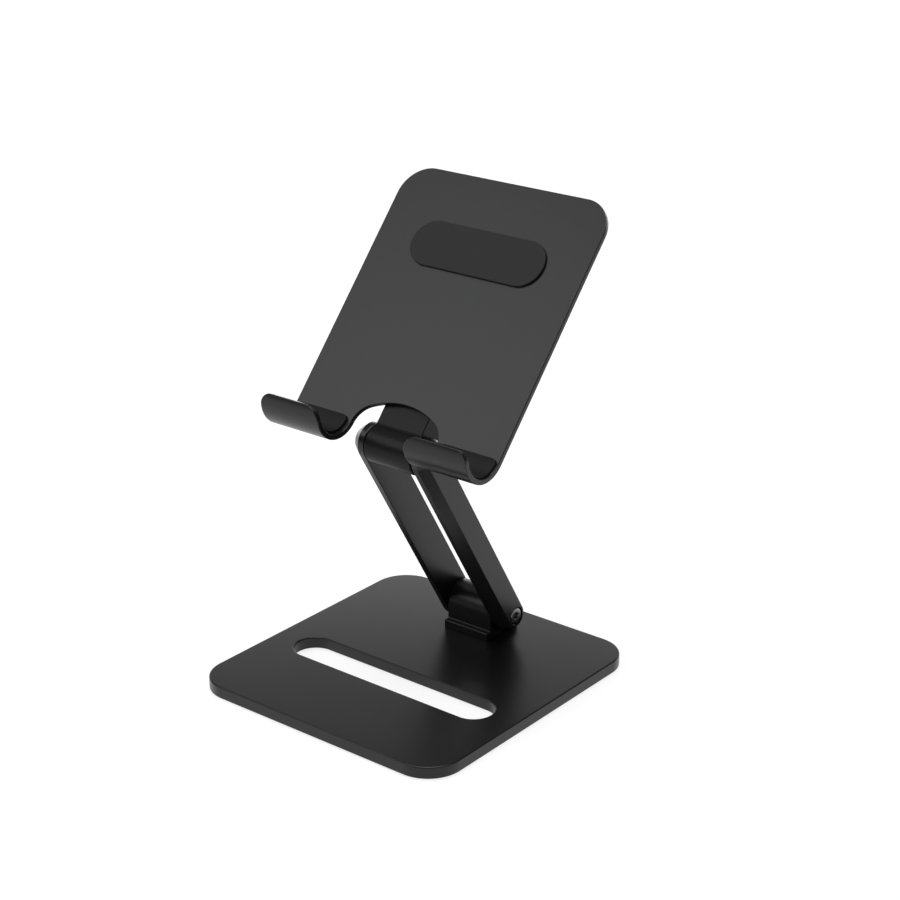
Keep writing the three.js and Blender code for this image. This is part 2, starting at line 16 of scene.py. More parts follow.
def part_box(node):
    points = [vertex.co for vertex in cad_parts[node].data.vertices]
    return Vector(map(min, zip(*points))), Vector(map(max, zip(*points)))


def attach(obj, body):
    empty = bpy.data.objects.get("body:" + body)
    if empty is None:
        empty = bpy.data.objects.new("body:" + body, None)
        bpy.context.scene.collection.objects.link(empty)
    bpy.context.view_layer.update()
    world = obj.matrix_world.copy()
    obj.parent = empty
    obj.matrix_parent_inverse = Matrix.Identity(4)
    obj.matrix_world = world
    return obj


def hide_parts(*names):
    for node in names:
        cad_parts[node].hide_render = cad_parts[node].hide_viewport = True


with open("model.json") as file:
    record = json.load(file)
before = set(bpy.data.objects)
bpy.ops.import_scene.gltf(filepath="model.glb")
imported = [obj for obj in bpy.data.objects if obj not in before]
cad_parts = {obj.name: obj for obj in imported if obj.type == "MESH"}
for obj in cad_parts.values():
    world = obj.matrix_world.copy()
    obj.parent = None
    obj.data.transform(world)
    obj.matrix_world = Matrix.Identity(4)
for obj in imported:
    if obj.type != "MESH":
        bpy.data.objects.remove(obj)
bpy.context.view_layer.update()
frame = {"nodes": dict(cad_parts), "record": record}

# ---------- places taken from the frame ----------

MM = 0.001
HINGES = {joint["name"]: Vector(joint["pos_m"]) for joint in frame["record"]["behaviour"]["joints"]}
LOWER = HINGES["lower_hinge"]
UPPER = HINGES["upper_hinge"]
ARM_LEAN = math.atan2(LOWER.y - UPPER.y, UPPER.z - LOWER.z)
PLATE_LEAN = math.radians(41.3)

X = Vector((1, 0, 0))
Y = Vector((0, 1, 0))
Z = Vector((0, 0, 1))
PLATE_OUT = Vector((0, -math.cos(PLATE_LEAN), math.sin(PLATE_LEAN)))
PLATE_UP = Vector((0, math.sin(PLATE_LEAN), math.cos(PLATE_LEAN)))

BASE_LOW, BASE_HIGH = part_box("base_plate")
BLOCK_LOW, BLOCK_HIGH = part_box("hinge_block")
ARM_LOW, ARM_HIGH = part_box("arm_right")

SIDES = (("left", -1), ("right", 1))
FEET = [f"foot_{end}_{word}" for word in ("left", "right") for end in ("front", "rear")]
BASE_SCREWS = ["base_screw_left", "base_screw_right"]

# ---------- sizes of the visible shapes ----------

BASE_CORNER = 14
BASE_EDGE = 0.5
SLOT_LENGTH = 93
SLOT_WIDTH = 16
SLOT_Y = -14.4

BASE_SCREW_SHANK_RADIUS = 1.8
BASE_SCREW_HEAD_HEIGHT = 1.7
BASE_SCREW_RIM = 0.15
BASE_SCREW_SINK = 1.6

KNUCKLE_EDGE = 0.35
BORE_RADIUS = 3.5
LOWER_KNUCKLE_RADIUS = 7.5
UPPER_KNUCKLE_RADIUS = 7.4
FLANGE_HEIGHT = 3.3
FLANGE_REACH = 2.2
FLANGE_CORNER = 0.5
FLANGE_FILLET = 0.5

ARM_RADIUS = 7.1
ARM_WALL = 2.7
ARM_FACE_RADIUS = 4.4
SCREW_HEAD_RADIUS = 3.15
SCREW_HEAD_HEIGHT = 2.05
SCREW_HEAD_RIM = 0.4
SCREW_SHANK_RADIUS = 1.6
SCREW_TIP_BEVEL = 0.25
COUNTERBORE_RADIUS = 3.55
COUNTERBORE_DEPTH = 2.7
COUNTERBORE_BEVEL = 0.12
COUNTERBORE_RISE = 0.48
SHANK_HOLE_RADIUS = 1.8
AXLE_POCKET_RADIUS = 2.6
AXLE_POCKET_DEPTH = 1.35
HEX_ACROSS_FLATS = 2.6
HEX_DEPTH = 1.3
HEX_MOUTH_DEPTH = 0.22
HEX_MOUTH_FLARE = 0.5
HEX_MOUTH_RISE = 0.3

PLATE_HALF_WIDTH = 47.2
PLATE_SHEET = 2
PLATE_FRONT = 7.38
PLATE_TOP = 106
PLATE_CORNER = 12.5
PLATE_EDGE = 0.3
LIP_OUTER_RADIUS = 11.4
LIP_CENTRE_HEIGHT = 3.5
LIP_TOP = -0.8
LIP_CORNER_OUTER = 4.5
LIP_CORNER_INNER = 6
ARCH_HALF_WIDTH = 19.6
ARCH_TOP = 14.3
ARCH_CROWN_RADIUS = 32
ARCH_SHOULDER_RADIUS = 9

PAD_LENGTH = 60
PAD_HEIGHT = 18.4
PAD_THICKNESS = 0.9
PAD_CENTRE = 76.4
PAD_EDGE = 0.3
SOFT_EDGE = 0.25
LINER_THICKNESS = 1
LINER_TOP = 4.6
LINER_INNER_INSET = 1.9
LINER_OUTER_INSET = 0.8
LINER_MARGIN = 1
LINER_CORNER = 2.2

TONGUE_TOP = 36
TONGUE_ROOT_DEPTH = 12
TONGUE_TIP_DEPTH = 4.4
TONGUE_TAPER_START = 15
TONGUE_FILLET = 2.5
TONGUE_ROUND = 0.8
STUD_HEIGHTS = (18.5, 29.5)
STUD_RADIUS = 1.5
STUD_LENGTH = 7
STUD_TIP_BEVEL = 0.3
NUT_RECESS_RADIUS = 4
NUT_ACROSS_FLATS = 5.5
NUT_HEIGHT = 2
NUT_FACE_INSET = 0.1
NUT_CORNER_SLOPE = 0.577

GAP = 0.1
CLEAR = 20
WELD = 0.0001
ARC_STEPS = 24
SMALL_ARC_STEPS = 6
EDGE_STEPS = 4
BEND_STEP = 0.6

PLATE_BACK = PLATE_FRONT - PLATE_SHEET
LIP_CENTRE_DEPTH = PLATE_BACK + LIP_OUTER_RADIUS
TONGUE_FRONT = PLATE_BACK - GAP
LIP_SWEEP = math.pi + math.asin((LIP_TOP - LIP_CENTRE_HEIGHT) / LIP_OUTER_RADIUS)


# ---------- boxes and local frames ----------


def box_mm(node):
    """Lowest and highest corners of a node, in millimetres."""
    return [Vector(corner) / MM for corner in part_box(node)]


def plan_centre(low, high):
    """Middle of a box as it is seen from above."""
    return ((low.x + high.x) / 2, (low.y + high.y) / 2)


def axes(a, b, c, origin=Vector((0, 0, 0))):
    """Matrix that puts a shape drawn in millimetres on three world directions from a point."""
    matrix = Matrix((a, b, c)).transposed().to_4x4()
    matrix.translation = origin
    return matrix @ Matrix.Scale(MM, 4)


SIDE = axes(Y, Z, X)
HOLDER_SIDE = axes(-PLATE_OUT, PLATE_UP, X, UPPER)
HOLDER_FACE = axes(X, PLATE_UP, PLATE_OUT, UPPER)
FLOOR_PLAN = axes(X, Y, Z)


def along(axis, origin):
    """Frame of a turned piece: its own Z runs along the axis."""
    side = Y if abs(axis.x) > 0.5 else X
    return axes(side, axis.cross(side), axis, origin)


# ---------- outlines, all anticlockwise, in millimetres ----------


def arc(centre, radius, start, end, steps=ARC_STEPS):
    """Points on an arc, from the start angle to the end angle."""
    turn = (end - start) / steps
    angles = [start + turn * i for i in range(steps + 1)]
    return [(centre[0] + radius * math.cos(a), centre[1] + radius * math.sin(a)) for a in angles]


def rounded_rectangle(x0, x1, y0, y1, radius):
    """Rectangle with four equal round corners, from the lower right one."""
    corners = [(x1, y0, -1, 1), (x1, y1, -1, -1), (x0, y1, 1, -1), (x0, y0, 1, 1)]
    points = []
    for index, (x, y, inward_x, inward_y) in enumerate(corners):
        centre = (x + inward_x * radius, y + inward_y * radius)
        start = math.pi / 2 * (index - 1)
        points += arc(centre, radius, start, start + math.pi / 2)
    return points


def pill(length, width, centre=(0, 0), steps=ARC_STEPS):
    """Bar with half-round ends, lying along the first axis."""
    radius = width / 2
    reach = length / 2 - radius
    right = arc((centre[0] + reach, centre[1]), radius, -math.pi / 2, math.pi / 2, 2 * steps)
    left = arc((centre[0] - reach, centre[1]), radius, math.pi / 2, 3 * math.pi / 2, 2 * steps)
    return right + left


def circle(centre, radius, steps=4 * ARC_STEPS):
    """Closed ring of points."""
    return arc(centre, radius, 0, 2 * math.pi, steps)[:-1]


def hexagon(across_flats):
    """Corners of a regular hexagon."""
    return circle((0, 0), across_flats / math.sqrt(3), 6)


def inset(points, distance):
    """The same outline moved to its left by a distance, corners mitred."""
    moved = []
    count = len(points)
    for i, point in enumerate(points):
        before = Vector(point) - Vector(points[i - 1])
        after = Vector(points[(i + 1) % count]) - Vector(point)
        left_before = Vector((-before.y, before.x)).normalized()
        left_after = Vector((-after.y, after.x)).normalized()
        shift = (left_before + left_after) * (distance / (1 + left_before.dot(left_after)))
        moved.append((point[0] + shift.x, point[1] + shift.y))
    return moved


def rounded_levels(low, high, edge):
    """(height, inset) pairs of a plate whose two faces meet its sides in small rounds."""
    turns = [math.pi / 2 * i / EDGE_STEPS for i in range(EDGE_STEPS + 1)]
    lower = [(low + edge * (1 - math.cos(t)), edge * (1 - math.sin(t))) for t in turns]
    return lower + [(high - (height - low), shift) for height, shift in reversed(lower)]


# ---------- mesh builders ----------


def to_object(name, bm):
    """Puts a bmesh in the scene as a closed mesh that faces outwards."""
    bmesh.ops.remove_doubles(bm, verts=bm.verts, dist=WELD * MM)
    bmesh.ops.recalc_face_normals(bm, faces=bm.faces)
    mesh = bpy.data.meshes.new(name)
    bm.to_mesh(mesh)
    bm.free()
    piece = bpy.data.objects.new(name, mesh)
    bpy.context.scene.collection.objects.link(piece)
    return piece


def stack_bmesh(outline, levels, holes=()):
    """Closed body whose cross-section is the outline, inset at each level as the pair says."""
    bm = bmesh.new()
    loops = [list(outline)] + [list(reversed(hole)) for hole in holes]
    for loop in loops:
        rings = []
        for height, shift in levels:
            rings.append([bm.verts.new((a, b, height)) for a, b in inset(loop, shift)])
        for low, high in zip(rings, rings[1:]):
            for i in range(len(loop)):
                bm.faces.new((low[i - 1], low[i], high[i], high[i - 1]))
    for height, shift in (levels[0], levels[-1]):
        flat = [[Vector((a, b, 0)) for a, b in inset(loop, shift)] for loop in loops]
        corners = [bm.verts.new((p.x, p.y, height)) for loop in flat for p in loop]
        for triangle in tessellate_polygon(flat):
            bm.faces.new([corners[i] for i in triangle])
    bmesh.ops.remove_doubles(bm, verts=bm.verts, dist=WELD)
    return bm


def stack(name, outline, levels, matrix, holes=()):
    """The stacked body, placed by a frame."""
    bm = stack_bmesh(outline, levels, holes)
    bmesh.ops.transform(bm, matrix=matrix, verts=bm.verts)
    return to_object(name, bm)


def turned(name, profile, matrix, segments=4 * ARC_STEPS):
    """Body of revolution: (radius, height) pairs that start and end on the axis."""
    bm = bmesh.new()
    rings = []
    for radius, height in profile:
        points = circle((0, 0), radius, segments) if radius > 0 else [(0, 0)]
        rings.append([bm.verts.new((a, b, height)) for a, b in points])
    for low, high in zip(rings, rings[1:]):
        for i in range(segments):
            quad = [(low, i - 1), (low, i), (high, i), (high, i - 1)]
            corners = list(dict.fromkeys(ring[place % len(ring)] for ring, place in quad))
            if len(corners) > 2:
                bm.faces.new(corners)
    bmesh.ops.transform(bm, matrix=matrix, verts=bm.verts)
    return to_object(name, bm)


def bent(name, outline, thickness, outer_radius, edge):
    """Sheet drawn flat, then bent into the J. Drawn height 0 is where the bend starts."""
    bm = stack_bmesh(outline, rounded_levels(0, thickness, edge))
    lowest = min(b for _, b in outline)
    middle = outer_radius - thickness / 2
    cuts = int(-lowest / BEND_STEP) + 1
    for i in range(1, cuts + 1):
        everything = bm.verts[:] + bm.edges[:] + bm.faces[:]
        place = Vector((0, lowest - i * lowest / cuts, 0))
        bmesh.ops.bisect_plane(bm, geom=everything, dist=WELD / 10, plane_co=place, plane_no=(0, 1, 0))
    for vertex in bm.verts:
        x, height, depth = vertex.co
        radius = outer_radius - depth
        turn = max(0, -height) / middle
        out = LIP_CENTRE_DEPTH - radius * math.cos(turn)
        up = LIP_CENTRE_HEIGHT - radius * math.sin(turn) + max(0, height)
        vertex.co = (x, up, out)
    bmesh.ops.transform(bm, matrix=HOLDER_FACE, verts=bm.verts)
    return to_object(name, bm)


def combine(piece, others, operation):
    """Adds, cuts or intersects whole bodies for good."""
    for other in others:
        step = piece.modifiers.new("combine", "BOOLEAN")
        step.operation = operation
        step.solver = "EXACT"
        step.object = other
    evaluated = piece.evaluated_get(bpy.context.evaluated_depsgraph_get())
    mesh = bpy.data.meshes.new_from_object(evaluated)
    piece.modifiers.clear()
    piece.data = mesh
    mesh.name = piece.name
    for other in others:
        bpy.data.objects.remove(other)


def settle(piece, body, material, nodes, sharp_deg=40):
    """Shades a finished piece, gives it its material and ties it to the frame."""
    piece.data.shade_smooth()
    piece.data.set_sharp_from_angle(angle=math.radians(sharp_deg))
    weighted = piece.modifiers.new("even_normals", "WEIGHTED_NORMAL")
    weighted.keep_sharp = True
    weighted.weight = 100
    piece.data.materials.clear()
    piece.data.materials.append(material)
    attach(piece, body)
    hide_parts(*nodes)


# ---------- materials ----------


# A noise's usual lowest and highest values, the broad noise's share of the fine one's scale,
# and the depth of the surface relief in metres.
NOISE_RANGE = (0.3, 0.7)
BROAD_NOISE_SHARE = 1 / 40
RELIEF_DEPTH = 0.00005


def new_material(name):
    """Empty node material with its shader, and a helper that adds a noise in object space."""
    material = bpy.data.materials.new(name)
    material.use_nodes = True
    tree = material.node_tree
    shader = tree.nodes["Principled BSDF"]
    place = tree.nodes.new("ShaderNodeTexCoord")

    def noise(scale, detail=4):
        node = tree.nodes.new("ShaderNodeTexNoise")
        node.inputs["Scale"].default_value = scale
        node.inputs["Detail"].default_value = detail
        tree.links.new(place.outputs["Object"], node.inputs["Vector"])
        return node.outputs["Fac"]

    return material, tree, shader, noise


def ramp(tree, source, low, high):
    """Spreads a noise between two values, or mixes two colours by it."""
    if isinstance(low, tuple):
        node = tree.nodes.new("ShaderNodeMix")
        node.data_type = "RGBA"
        node.inputs["A"].default_value = (*low, 1)
        node.inputs["B"].default_value = (*high, 1)
        tree.links.new(source, node.inputs["Factor"])
        return node.outputs["Result"]
    node = tree.nodes.new("ShaderNodeMapRange")
    node.inputs["From Min"].default_value = NOISE_RANGE[0]
    node.inputs["From Max"].default_value = NOISE_RANGE[1]
    node.inputs["To Min"].default_value = low
    node.inputs["To Max"].default_value = high
    tree.links.new(source, node.inputs["Value"])
    return node.outputs["Result"]


def bump(tree, shader, source, strength):
    """Fine relief on the surface."""
    node = tree.nodes.new("ShaderNodeBump")
    node.inputs["Strength"].default_value = strength
    node.inputs["Distance"].default_value = RELIEF_DEPTH
    tree.links.new(source, node.inputs["Height"])
    tree.links.new(node.outputs["Normal"], shader.inputs["Normal"])


def surface(name, dark, light, rough, metallic, specular, grain, relief):
    """Material with a faint grain in its colour, its roughness and its relief."""
    material, tree, shader, noise = new_material(name)
    fine = noise(grain)
    broad = noise(grain * BROAD_NOISE_SHARE, 2)
    tree.links.new(ramp(tree, broad, dark, light), shader.inputs["Base Color"])
    tree.links.new(ramp(tree, fine, *rough), shader.inputs["Roughness"])
    bump(tree, shader, fine, relief)
    shader.inputs["Metallic"].default_value = metallic
    shader.inputs["Specular IOR Level"].default_value = specular
    return material


anodised = surface(
    "satin_black_anodised",
    dark=(0.0035, 0.0035, 0.0037),
    light=(0.005, 0.005, 0.0052),
    rough=(0.28, 0.34),
    metallic=0,
    specular=0.38,
    grain=4500,
    relief=0.05,
)
cast_block = surface(
    "black_cast_block",
    dark=(0.003, 0.003, 0.0032),
    light=(0.0045, 0.0045, 0.0047),
    rough=(0.34, 0.4),
    metallic=0,
    specular=0.34,
    grain=4200,
    relief=0.05,
)
cast_bracket = surface(
    "black_cast_bracket",
    dark=(0.003, 0.003, 0.0032),
    light=(0.0045, 0.0045, 0.0047),
    rough=(0.32, 0.38),
    metallic=0,
    specular=0.15,
    grain=4200,
    relief=0.05,
)
silicone = surface(
    "dark_silicone",
    dark=(0.014, 0.014, 0.014),
    light=(0.018, 0.018, 0.018),
    rough=(0.6, 0.7),
    metallic=0,
    specular=0.25,
    grain=2600,
    relief=0.1,
)
# A copy of the dark silicone with its colour cut to about a third: painted shade for the shadow inside the
# lips.
shade_darkened_silicone = surface(
    "silicone_darkened_for_painted_shade",
    dark=(0.005, 0.005, 0.005),
    light=(0.008, 0.008, 0.008),
    rough=(0.6, 0.7),
    metallic=0,
    specular=0.2,
    grain=2600,
    relief=0.1,
)
bright_steel = surface(
    "bright_steel",
    dark=(0.27, 0.27, 0.275),
    light=(0.31, 0.31, 0.315),
    rough=(0.24, 0.27),
    metallic=1,
    specular=0.5,
    grain=3000,
    relief=0.004,
)
black_steel = surface(
    "blackened_steel",
    dark=(0.015, 0.015, 0.016),
    light=(0.024, 0.024, 0.026),
    rough=(0.3, 0.4),
    metallic=0.4,
    specular=0.5,
    grain=3500,
    relief=0.05,
)
acetal = surface(
    "grey_acetal",
    dark=(0.1, 0.1, 0.095),
    light=(0.13, 0.13, 0.125),
    rough=(0.45, 0.55),
    metallic=0,
    specular=0.4,
    grain=2500,
    relief=0.05,
)
NODE_MATERIALS = {
    "black_aluminium": anodised,
    "dark_silicone": silicone,
    "bright_steel": bright_steel,
    "black_steel": black_steel,
    "bearing_plastic": acetal,
}


# ---------- base ----------


def build_base_plate():
    """Rounded slab with the long slot, foot pockets and countersunk holes."""
    x = BASE_HIGH[0] / MM
    y = BASE_HIGH[1] / MM
    outline = rounded_rectangle(-x, x, -y, y, BASE_CORNER)
    slot_hole = pill(SLOT_LENGTH, SLOT_WIDTH, (0, SLOT_Y))
    levels = rounded_levels(BASE_LOW[2] / MM, BASE_HIGH[2] / MM, BASE_EDGE)
    plate = stack("base_plate_slab", outline, levels, FLOOR_PLAN, [slot_hole])
    cutters = []
    for node in FEET:
        low, high = box_mm(node)
        pocket = pill(high.x - low.x + 2 * GAP, high.y - low.y + 2 * GAP, plan_centre(low, high))
        cutters.append(stack("pocket", pocket, [(-1, 0), (high.z + GAP, 0)], FLOOR_PLAN))
    for node in BASE_SCREWS:
        low, high = box_mm(node)
        head = (high.x - low.x) / 2 + 2 * GAP
        shank = head - BASE_SCREW_SINK
        centre = Vector((*plan_centre(low, high), 0)) * MM
        profile = [(0, -1), (head, -1), (head, low.z), (shank, low.z + BASE_SCREW_SINK)]
        profile += [(shank, CLEAR), (0, CLEAR)]
        cutters.append(turned("sink", profile, along(Z, centre)))
    combine(plate, cutters, "DIFFERENCE")
    settle(plate, "base", anodised, ["base_plate"])


def build_foot(node):
    """Soft pill-shaped sole with rounded edges."""
    low, high = box_mm(node)
    outline = pill(high.x - low.x, high.y - low.y, plan_centre(low, high))
    sole = stack(f"{node}_sole", outline, rounded_levels(low.z, high.z, SOFT_EDGE), FLOOR_PLAN)
    settle(sole, "base", silicone, [node])


def build_hinge_block():
    """Half-round knuckle over the hinge axis, on a thin foot."""
    y, z = LOWER.y / MM, LOWER.z / MM
    radius = LOWER_KNUCKLE_RADIUS
    bottom = BLOCK_LOW[2] / MM
    flange = BASE_HIGH[2] / MM + FLANGE_HEIGHT
    reach = radius + FLANGE_REACH
    corner = FLANGE_CORNER
    fillet = FLANGE_FILLET
    right = [(y + reach, bottom)]
    right += arc((y + reach - corner, flange - corner), corner, 0, math.pi / 2, SMALL_ARC_STEPS)
    right += arc((y + radius + fillet, flange + fillet), fillet, 1.5 * math.pi, math.pi, SMALL_ARC_STEPS)
    left = [(2 * y - a, b) for a, b in reversed(right)]
    outline = right + arc((y, z), radius, 0, math.pi, 4 * ARC_STEPS) + left
    half = BLOCK_HIGH[0] / MM
    block = stack("hinge_block_knuckle", outline, rounded_levels(-half, half, KNUCKLE_EDGE), SIDE)
    combine(block, [knuckle_bore(LOWER)], "DIFFERENCE")
    settle(block, "base", cast_block, ["hinge_block"])


def knuckle_bore(hinge):
    """Cutter for the bearing bore right through a knuckle."""
    profile = [(0, -CLEAR), (BORE_RADIUS, -CLEAR), (BORE_RADIUS, CLEAR), (0, CLEAR)]
    return turned("bore", profile, along(X, hinge))


def build_base_screw(node):
    """Countersunk screw with a hexagonal socket, seen from below."""
    low, high = box_mm(node)
    centre = Vector((*plan_centre(low, high), 0)) * MM
    head = (high.x - low.x) / 2
    shank = BASE_SCREW_SHANK_RADIUS
    profile = [(0, low.z), (head - BASE_SCREW_RIM, low.z), (head, low.z + BASE_SCREW_RIM)]
    profile += [(shank, low.z + BASE_SCREW_HEAD_HEIGHT), (shank, high.z), (0, high.z)]
    screw = turned(f"{node}_turned", profile, along(Z, centre))
    levels = [(-1, 0), (low.z + HEX_DEPTH, 0)]
    socket = stack("socket", hexagon(HEX_ACROSS_FLATS), levels, axes(X, Y, Z, centre))
    combine(screw, [socket], "DIFFERENCE")
    settle(screw, "base", black_steel, [node])


# ---------- arms and hinge screws ----------


def arm_outline(radius):
    """Bar with round ends about both hinge axes, seen from the side."""
    up = math.pi / 2 + ARM_LEAN
    top = arc((UPPER.y / MM, UPPER.z / MM), radius, up - math.pi / 2, up + math.pi / 2, 3 * ARC_STEPS)
    bottom = arc((LOWER.y / MM, LOWER.z / MM), radius, up + math.pi / 2, up + 1.5 * math.pi, 3 * ARC_STEPS)
    return top + bottom


def build_arm(word, side):
    """Flat wall with a wide chamfer to the narrower outer face, and a counterbore at each end."""
    inner = ARM_LOW[0] / MM
    outer = ARM_HIGH[0] / MM
    wall = inner + ARM_WALL
    chamfer = ARM_RADIUS - ARM_FACE_RADIUS
    # (height, inset) pairs of the bar's cross-sections, from its flat inner face out.
    inner_edge = [(inner, 0.3), (inner + 0.09, 0.09), (inner + 0.3, 0)]
    ridge = [(wall - 0.15, 0), (wall - 0.03, 0.03), (wall + 0.1, 0.12)]
    outer_edge = [(outer - 0.15, chamfer - 0.13), (outer - 0.04, chamfer - 0.02), (outer, chamfer + 0.14)]
    levels = inner_edge + ridge + outer_edge
    bar = stack(f"arm_{word}_bar", arm_outline(ARM_RADIUS), levels, axes(Y, Z, X * side))
    start, seat, end = inner - 1, outer - COUNTERBORE_DEPTH, outer + COUNTERBORE_RISE
    hole, head, bevel = SHANK_HOLE_RADIUS, COUNTERBORE_RADIUS, COUNTERBORE_BEVEL
    profile = [(0, start), (hole, start), (hole, seat), (head, seat)]
    profile += [(head, outer - bevel), (head + bevel + COUNTERBORE_RISE, end), (0, end)]
    pocket_end = inner + AXLE_POCKET_DEPTH
    pocket = [(0, start), (AXLE_POCKET_RADIUS, start), (AXLE_POCKET_RADIUS, pocket_end), (0, pocket_end)]
    cutters = []
    for hinge in (LOWER, UPPER):
        cutters.append(turned("counterbore", profile, along(X * side, hinge)))
        cutters.append(turned("pocket", pocket, along(X * side, hinge)))
    combine(bar, cutters, "DIFFERENCE")
    settle(bar, "arms", anodised, [f"arm_{word}"], sharp_deg=20)


def build_hinge_screw(node, hinge, side):
    """Socket screw whose head has a rounded rim and a hexagonal recess."""
    low, high = [corner[0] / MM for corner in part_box(node)]
    tip, top = (low, high) if side > 0 else (-high, -low)
    seat = top - SCREW_HEAD_HEIGHT
    head, rim, shank = SCREW_HEAD_RADIUS, SCREW_HEAD_RIM, SCREW_SHANK_RADIUS
    profile = [(0, tip), (shank - SCREW_TIP_BEVEL, tip), (shank, tip + SCREW_TIP_BEVEL)]
    profile += [(shank, seat), (head, seat)]
    profile += arc((head - rim, top - rim), rim, 0, math.pi / 2, SMALL_ARC_STEPS)
    profile += [(0, top)]
    screw = turned(f"{node}_turned", profile, along(X * side, hinge))
    levels = [(top - HEX_DEPTH, 0), (top + 1, 0)]
    socket = stack("socket", hexagon(HEX_ACROSS_FLATS), levels, axes(Y, Z, X * side, hinge))
    flat = HEX_ACROSS_FLATS / 2
    low, high = top - HEX_MOUTH_DEPTH, top + HEX_MOUTH_RISE
    profile = [(0, low), (flat, low), (flat + HEX_MOUTH_FLARE, high), (0, high)]
    mouth = turned("mouth", profile, along(X * side, hinge))
    combine(screw, [socket, mouth], "DIFFERENCE")
    settle(screw, "arms", bright_steel, [node])


# ---------- holder ----------


def lip_outline():
    """The sheet before bending: x across, height 0 where the bend starts."""
    half = PLATE_HALF_WIDTH
    top = PLATE_TOP - LIP_CENTRE_HEIGHT
    low = -(LIP_OUTER_RADIUS - PLATE_SHEET / 2) * LIP_SWEEP
    crown = ARCH_TOP - ARCH_CROWN_RADIUS - LIP_CENTRE_HEIGHT
    shoulder_x = ARCH_HALF_WIDTH - ARCH_SHOULDER_RADIUS
    reach = ARCH_CROWN_RADIUS - ARCH_SHOULDER_RADIUS
    shoulder_y = crown + math.sqrt(reach**2 - shoulder_x**2)
    meet = math.acos(shoulder_x / reach)
    outer, inner, corner = LIP_CORNER_OUTER, LIP_CORNER_INNER, PLATE_CORNER
    right = arc((half - outer, low + outer), outer, -math.pi / 2, 0)
    right += arc((half - corner, top - corner), corner, 0, math.pi / 2, 2 * ARC_STEPS)
    left = [(-a, b) for a, b in reversed(right)]
    left += arc((-ARCH_HALF_WIDTH - inner, low + inner), inner, -math.pi / 2, 0)
    arch = arc((-shoulder_x, shoulder_y), ARCH_SHOULDER_RADIUS, math.pi, math.pi - meet)
    arch += arc((0, crown), ARCH_CROWN_RADIUS, math.pi - meet, meet, 2 * ARC_STEPS)
    arch += arc((shoulder_x, shoulder_y), ARCH_SHOULDER_RADIUS, meet, 0)
    arch += arc((ARCH_HALF_WIDTH + inner, low + inner), inner, math.pi, 1.5 * math.pi)
    return without_repeats(right + left + arch)


def without_repeats(points):
    """Leaves out points that repeat the one before."""
    return [p for i, p in enumerate(points) if (Vector(p) - Vector(points[i - 1])).length > WELD]


def stud_axis(height):
    """Frame of a turned piece on a stud's axis, pointing out of the plate's front."""
    return along(PLATE_OUT, UPPER + PLATE_UP * height * MM)


def build_back_plate():
    """Bent sheet with the arch and both lips, and the welded studs behind."""
    sheet = bent("back_plate_sheet", lip_outline(), PLATE_SHEET, LIP_OUTER_RADIUS, PLATE_EDGE)
    end = PLATE_BACK - STUD_LENGTH
    root = PLATE_BACK + PLATE_SHEET / 4
    profile = [(0, end), (STUD_RADIUS - STUD_TIP_BEVEL, end), (STUD_RADIUS, end + STUD_TIP_BEVEL)]
    profile += [(STUD_RADIUS, root), (0, root)]
    studs = [turned("stud", profile, stud_axis(height), 2 * ARC_STEPS) for height in STUD_HEIGHTS]
    combine(sheet, studs, "UNION")
    settle(sheet, "holder", anodised, ["back_plate"])


def build_bracket():
    """Round knuckle that runs up into a thick tapered tongue behind the plate."""
    radius = UPPER_KNUCKLE_RADIUS
    front = -TONGUE_FRONT
    rear = TONGUE_ROOT_DEPTH - TONGUE_FRONT
    tip = TONGUE_TIP_DEPTH - TONGUE_FRONT
    fillet, round_off = TONGUE_FILLET, TONGUE_ROUND
    blend_x = front - fillet
    blend_y = math.sqrt((radius + fillet) ** 2 - blend_x**2)
    blend_turn = math.atan2(-blend_y, -blend_x)
    rear_turn = math.acos(rear / radius)
    outline = [(rear, TONGUE_TAPER_START)]
    top = TONGUE_TOP - round_off
    outline += arc((tip - round_off, top), round_off, 0, math.pi / 2, SMALL_ARC_STEPS)
    outline += arc((front + round_off, top), round_off, math.pi / 2, math.pi, SMALL_ARC_STEPS)
    outline += arc((blend_x, blend_y), fillet, 0, blend_turn, 10)
    knuckle_turn = math.atan2(blend_y, blend_x)
    outline += arc((0, 0), radius, knuckle_turn, 2 * math.pi + rear_turn, 4 * ARC_STEPS)[1:]
    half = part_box("hinge_bracket")[1][0] / MM
    levels = rounded_levels(-half, half, KNUCKLE_EDGE)
    bracket = stack("hinge_bracket_tongue", without_repeats(outline), levels, HOLDER_SIDE)
    seat = TONGUE_FRONT - TONGUE_TIP_DEPTH + NUT_HEIGHT
    recess, hole = NUT_RECESS_RADIUS, STUD_RADIUS + GAP
    profile = [(0, -CLEAR), (recess, -CLEAR), (recess, seat), (hole, seat), (hole, CLEAR), (0, CLEAR)]
    recesses = [turned("recess", profile, stud_axis(height)) for height in STUD_HEIGHTS]
    combine(bracket, [knuckle_bore(UPPER), *recesses], "DIFFERENCE")
    settle(bracket, "holder", cast_bracket, ["hinge_bracket"])


